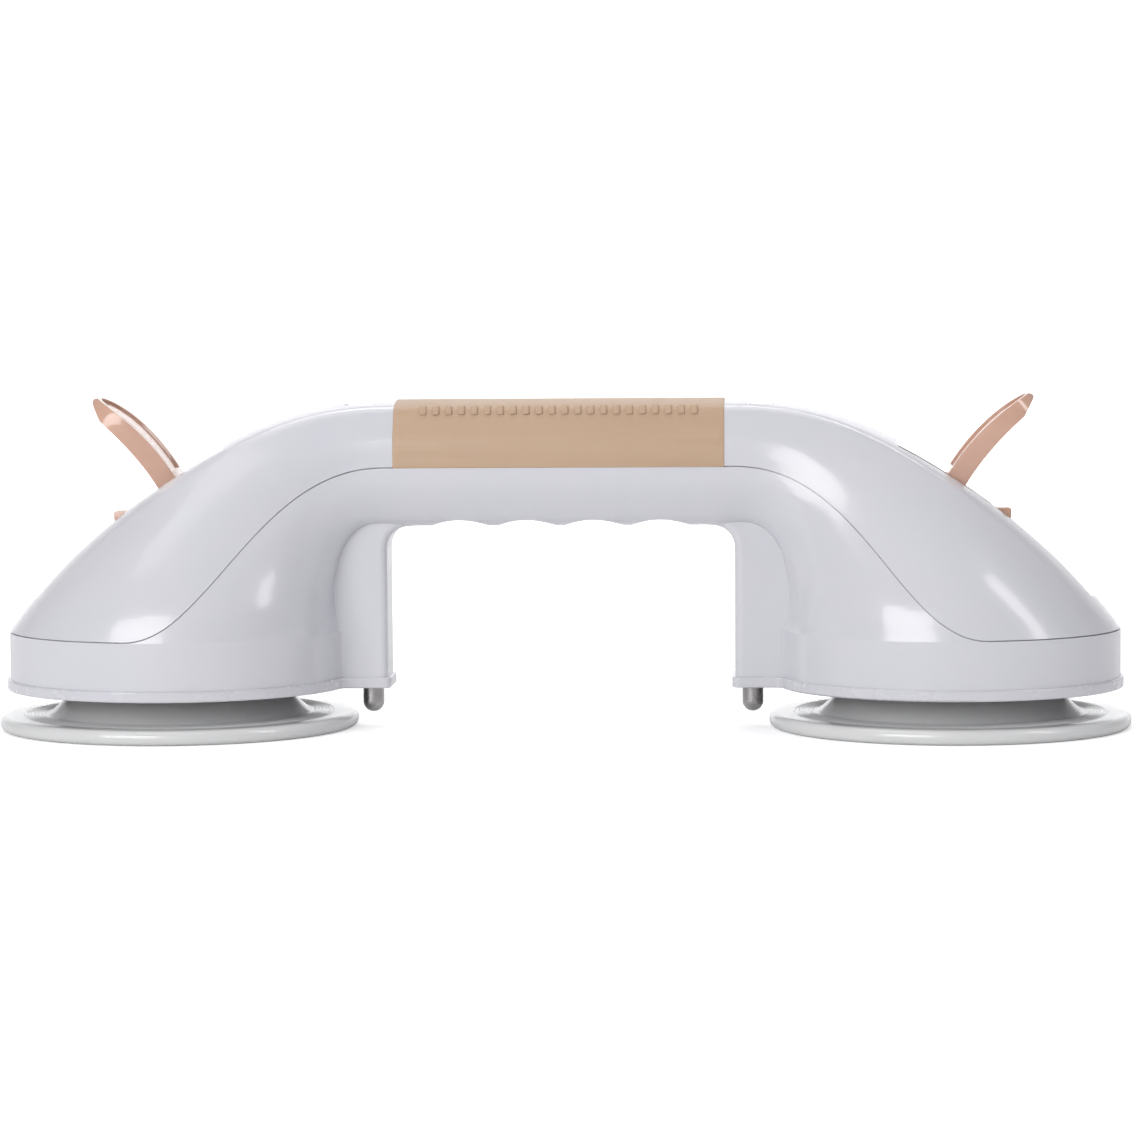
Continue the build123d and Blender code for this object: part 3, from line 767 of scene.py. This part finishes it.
@dataclass
class SuctionCup:
    """One rubber cup, turned: flat sealing rim with fine ripples, shoulder, and a stem socket."""

    side: Side
    finishes: Finishes
    rim_height: float = 4.0 * MM
    rim_width: float = 13.4 * MM
    rim_round: float = 1.85 * MM
    shoulder_width: float = 7.5 * MM
    shoulder_height: float = 11.1 * MM
    hub_radius: float = 20.0 * MM
    stem_foot_radius: float = 14.0 * MM
    stem_collar_radius: float = 5.5 * MM
    foot_floor: float = 8.0 * MM
    foot_ceiling: float = 11.0 * MM
    dish_height: float = 3.5 * MM
    ripple_pitch: float = 0.95 * MM
    ripple_height: float = 0.26 * MM
    ripple_count: int = 6
    flats: int = 160

    def build(self) -> None:
        """Turn the cup and hand it in."""
        node = f"suction_cup_{self.side.word}"
        low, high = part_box(node)
        centre = Vector(((low.x + high.x) / 2, 0.0, 0.0))
        outer = (high.x - low.x) / 2
        profile = [centre + Vector((radius, 0.0, height)) for radius, height in self._profile(outer, high.z)]
        cup = turned_piece(f"{node}_moulding", profile, centre, self.flats)
        settle(cup, 32.0)
        hand_in(cup, self.finishes.cup, f"stem_{self.side.word}", node)

    def _profile(self, outer: float, top: float) -> list[tuple[float, float]]:
        """Half profile of the cup, from the middle of its dish round to the stem's socket.

        Args:
            outer: Radius of the rim.
            top: Height of the hub.

        Returns:
            Radius and height of each point.
        """
        rim_inner = outer - self.rim_width
        points = [(0.0, self.dish_height), (0.3 * outer, 0.9 * self.dish_height), (0.46 * outer, 2.6 * MM)]
        points += [(0.62 * outer, 1.4 * MM), (rim_inner + 1.5 * MM, 0.05 * MM), (rim_inner + 2.0 * MM, 0.0)]
        points += self._sealing_lines(rim_inner + 3.0 * MM, outer - self.rim_round - 1.5 * MM)
        points += self._arc(outer - self.rim_round, self.rim_round, self.rim_round, -90, 0)
        points += self._arc(outer - self.rim_round, self.rim_height - self.rim_round, self.rim_round, 0, 90)
        points += self._ripples(rim_inner)
        points += self._blend_up(rim_inner)
        points += self._arc(self.hub_radius + 0.4 * MM, top - 0.9 * MM, 0.9 * MM, 60, 90)
        points += [(self.stem_collar_radius + 0.4 * MM, top), (self.stem_collar_radius, top - 0.4 * MM)]
        points += [(self.stem_collar_radius, self.foot_ceiling), (self.stem_foot_radius, self.foot_ceiling)]
        points += [(self.stem_foot_radius, self.foot_floor), (0.0, self.foot_floor)]
        return points

    @staticmethod
    def _arc(radius: float, height: float, bend: float, start: int, end: int) -> list[tuple[float, float]]:
        """Points on a round edge.

        Args:
            radius: Radius of the bend's centre.
            height: Height of the bend's centre.
            bend: Radius of the bend itself.
            start: First angle in degrees, from outward.
            end: Last angle in degrees.

        Returns:
            Radius and height of each point.
        """
        angles = [radians(start + (end - start) * step / 8) for step in range(9)]
        return [(radius + bend * cos(angle), height + bend * sin(angle)) for angle in angles]

    def _sealing_lines(self, inner: float, outer: float) -> list[tuple[float, float]]:
        """Shallow grooves on the sealing face.

        Args:
            inner: Where they begin.
            outer: Where they end.

        Returns:
            Radius and height of each point.
        """
        points = []
        for line in range(4):
            middle = inner + (outer - inner) * line / 3
            points += [(middle - 0.25 * MM, 0.0), (middle, 0.12 * MM), (middle + 0.25 * MM, 0.0)]
        return points

    def _ripples(self, rim_inner: float) -> list[tuple[float, float]]:
        """Fine rings on top of the rim, near the foot of the shoulder.

        Args:
            rim_inner: Radius where the rim ends.

        Returns:
            Radius and height of each point, from outside inwards.
        """
        start = rim_inner + 1.6 * MM + self.ripple_count * self.ripple_pitch
        samples = self.ripple_count * 8
        points = [(start + 1.2 * MM, self.rim_height)]
        for step in range(samples + 1):
            turn = 2 * pi * step / 8
            radius = start - self.ripple_pitch * step / 8
            points.append((radius, self.rim_height + self.ripple_height * (1 - cos(turn)) / 2))
        return points

    def _blend_up(self, rim_inner: float) -> list[tuple[float, float]]:
        """The shoulder's side, rounded into the rim below it.

        Args:
            rim_inner: Radius where the rim ends.

        Returns:
            Radius and height of each point.
        """
        foot = rim_inner + 0.9 * MM
        width = self.shoulder_width + 0.9 * MM
        rise = self.shoulder_height - self.rim_height
        points = []
        for step in range(13):
            share = step / 12
            eased = share * share * (3 - 2 * share) * 0.35 + share * 0.65
            points.append((foot - width * share, self.rim_height + rise * eased))
        return points


@dataclass
class Lever:
    """One flip lever with its cam foot, the moulding's edges rounded."""

    side: Side
    finishes: Finishes
    edge_rounding: float = 0.45 * MM

    def build(self) -> None:
        """Model the lever and hand it in."""
        node = f"lever_{self.side.word}"
        lever = merged_copy(node, f"{node}_moulding")
        soften(lever, self.edge_rounding, angle=34.0)
        settle(lever, 38.0)
        hand_in(lever, self.finishes.lever, f"lever_arm_{self.side.word}", node)


@dataclass
class StemDrive:
    """The stem and its cross pin, which keep their CAD shape."""

    side: Side
    finishes: Finishes

    def build(self) -> None:
        """Dress the stem and its pin."""
        dress(f"cup_stem_{self.side.word}", self.finishes.stem)
        dress(f"pivot_pin_{self.side.word}", self.finishes.steel)


@dataclass
class Indicator:
    """One sprung indicator: pin, collar, spring, flag and window."""

    side: Side
    finishes: Finishes
    effects: Effects
    green: tuple[float, float, float] = (0.05, 0.42, 0.13)
    red: tuple[float, float, float] = (0.55, 0.03, 0.03)

    def build(self) -> None:
        """Dress the indicator's pieces."""
        flag = f"indicator_flag_{self.side.word}"
        low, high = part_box(flag)
        print_line = low.z + 0.6 * (high.z - low.z)
        paint = TwoToneFlag(f"flag_print_{self.side.word}", self.green, self.red, print_line)
        dress(flag, paint.make(self.effects))
        dress(f"indicator_pin_{self.side.word}", self.finishes.steel)
        dress(f"pin_collar_{self.side.word}", self.finishes.steel)
        dress(f"indicator_spring_{self.side.word}", self.finishes.wire)
        dress(f"indicator_window_{self.side.word}", self.finishes.lens)


# ---- studio ------------------------------------------------------------------------------


@dataclass(frozen=True)
class SoftLight:
    """One soft box of the studio."""

    job: Glow
    place: tuple[float, float, float]
    target: tuple[float, float, float]
    width: float
    height: float
    power: float
    tint: tuple[float, float, float] = (1.0, 1.0, 1.0)

    def hang(self) -> None:
        """Make the light and aim it."""
        data = bpy.data.lights.new(f"light_{self.job.value}", "AREA")
        data.shape = "RECTANGLE"
        data.size = self.width
        data.size_y = self.height
        data.energy = self.power
        data.color = self.tint
        lamp = bpy.data.objects.new(data.name, data)
        bpy.context.scene.collection.objects.link(lamp)
        lamp.location = self.place
        aim = Vector(self.target) - Vector(self.place)
        lamp.rotation_euler = aim.to_track_quat("-Z", "Y").to_euler()


@dataclass
class Studio:
    """Pale sweep, soft lights, world and camera."""

    floor_half: float = 3.0
    wall_height: float = 2.6
    sweep_radius: float = 0.8
    camera_place: tuple[float, float, float] = (0.0544, -1.0, 0.1132)
    camera_pan: float = 0.053
    camera_dip: float = 0.070
    camera_roll: float = -0.0068
    camera_lens: float = 118.2
    camera_sensor: float = 36.0
    world_strength: float = 0.27

    def build(self) -> None:
        """Set up the whole studio."""
        self._sweep()
        self._world()
        self._lights()
        self._camera()

    def _sweep(self) -> None:
        """Floor that curves up into a wall behind the bar."""
        clear_selection()
        bpy.ops.mesh.primitive_plane_add(size=2 * self.floor_half)
        sweep = bpy.context.object
        sweep.name = "studio_sweep"
        bpy.ops.object.mode_set(mode="EDIT")
        bpy.ops.mesh.select_all(action="DESELECT")
        bpy.ops.object.mode_set(mode="OBJECT")
        far = self.floor_half - MM
        for edge in sweep.data.edges:
            ends = [sweep.data.vertices[index].co for index in edge.vertices]
            edge.select = all(end.y > far for end in ends)
        for vertex in sweep.data.vertices:
            vertex.select = vertex.co.y > far
        bpy.ops.object.mode_set(mode="EDIT")
        bpy.ops.mesh.extrude_edges_move(TRANSFORM_OT_translate={"value": (0.0, 0.0, self.wall_height)})
        bpy.ops.object.mode_set(mode="OBJECT")
        bend = sweep.modifiers.new("bend", "BEVEL")
        bend.width = self.sweep_radius
        bend.segments = 24
        bend.limit_method = "ANGLE"
        bpy.ops.object.modifier_apply(modifier=bend.name)
        settle(sweep, 40.0)
        sweep.data.materials.append(self._paper())
        log.info("studio_sweep: %d faces", len(sweep.data.polygons))

    @staticmethod
    def _paper() -> bpy.types.Material:
        """Pale matt paper with a faint tooth.

        Returns:
            The material.
        """
        material = bpy.data.materials.new("studio_paper")
        material.use_nodes = True
        shading = Shading(material.node_tree)
        shader = material.node_tree.nodes["Principled BSDF"]
        place = shading.add("TexCoord").outputs["Object"]
        tooth = shading.add("TexNoise", Vector=place, Scale=700.0, Detail=3.0)
        tone = shading.blend(tooth.outputs[0], (0.83, 0.83, 0.835, 1.0), (0.86, 0.86, 0.86, 1.0))
        shading.feed(shader.inputs["Base Color"], tone)
        # an even glow that only the camera sees, so it whitens the paper and lights nothing
        seen = shading.add("LightPath").outputs["Is Camera Ray"]
        shading.feed(shader.inputs["Emission Strength"], shading.sum("MULTIPLY", seen, 0.42))
        shader.inputs["Emission Color"].default_value = (1.0, 1.0, 1.0, 1.0)
        shader.inputs["Roughness"].default_value = 0.85
        shader.inputs["Specular IOR Level"].default_value = 0.15
        return material

    def _world(self) -> None:
        """Even white surroundings."""
        world = bpy.data.worlds.new("studio_world")
        bpy.context.scene.world = world
        world.use_nodes = True
        backdrop = world.node_tree.nodes["Background"]
        backdrop.inputs["Color"].default_value = (0.93, 0.95, 1.0, 1.0)
        backdrop.inputs["Strength"].default_value = self.world_strength

    @staticmethod
    def _lights() -> None:
        """Hang the soft boxes."""
        middle = (0.0, 0.0, 0.05)
        boxes = (
            SoftLight(Glow.OVERHEAD, (-0.2, 0.1, 1.3), middle, 1.3, 1.0, 5.5),
            SoftLight(Glow.FRONT, (-0.8, -1.6, 0.62), middle, 1.2, 1.0, 20.0),
            SoftLight(Glow.RIM, (1.0, -0.35, 0.85), (0.12, 0.0, 0.05), 0.22, 0.8, 3.0),
            SoftLight(Glow.BACK, (0.0, 1.4, 1.9), (0.0, 2.6, 0.5), 2.4, 1.0, 60.0),
        )
        for box in boxes:
            box.hang()

    def _camera(self) -> None:
        """Place the camera level with the bar, a little to its right."""
        pan, dip = self.camera_pan, self.camera_dip
        forward = Vector((-sin(pan) * cos(dip), cos(pan) * cos(dip), -sin(dip)))
        right = Vector((cos(pan), sin(pan), 0.0))
        upward = right.cross(forward)
        leaned_right = cos(self.camera_roll) * right + sin(self.camera_roll) * upward
        leaned_up = -sin(self.camera_roll) * right + cos(self.camera_roll) * upward
        turn = Matrix((leaned_right, leaned_up, -forward)).transposed().to_4x4()
        data = bpy.data.cameras.new("camera")
        data.lens = self.camera_lens
        data.sensor_width = self.camera_sensor
        data.clip_start = 0.05
        camera = bpy.data.objects.new("camera", data)
        bpy.context.scene.collection.objects.link(camera)
        camera.matrix_world = Matrix.Translation(Vector(self.camera_place)) @ turn
        bpy.context.scene.camera = camera
        view = bpy.context.scene.view_settings
        view.view_transform = "Standard"
        view.look = "None"


def main() -> None:
    """Build the studio and every piece."""
    logging.basicConfig(level=logging.INFO, format="%(message)s")
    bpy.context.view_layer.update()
    Studio().build()
    effects = Effects()
    finishes = Finishes(effects)
    Casing(finishes).build()
    GripCover(finishes).build()
    for side in Side:
        SuctionCup(side, finishes).build()
        StemDrive(side, finishes).build()
        Lever(side, finishes).build()
        Indicator(side, finishes, effects).build()


if __name__ == "__main__":
    main()
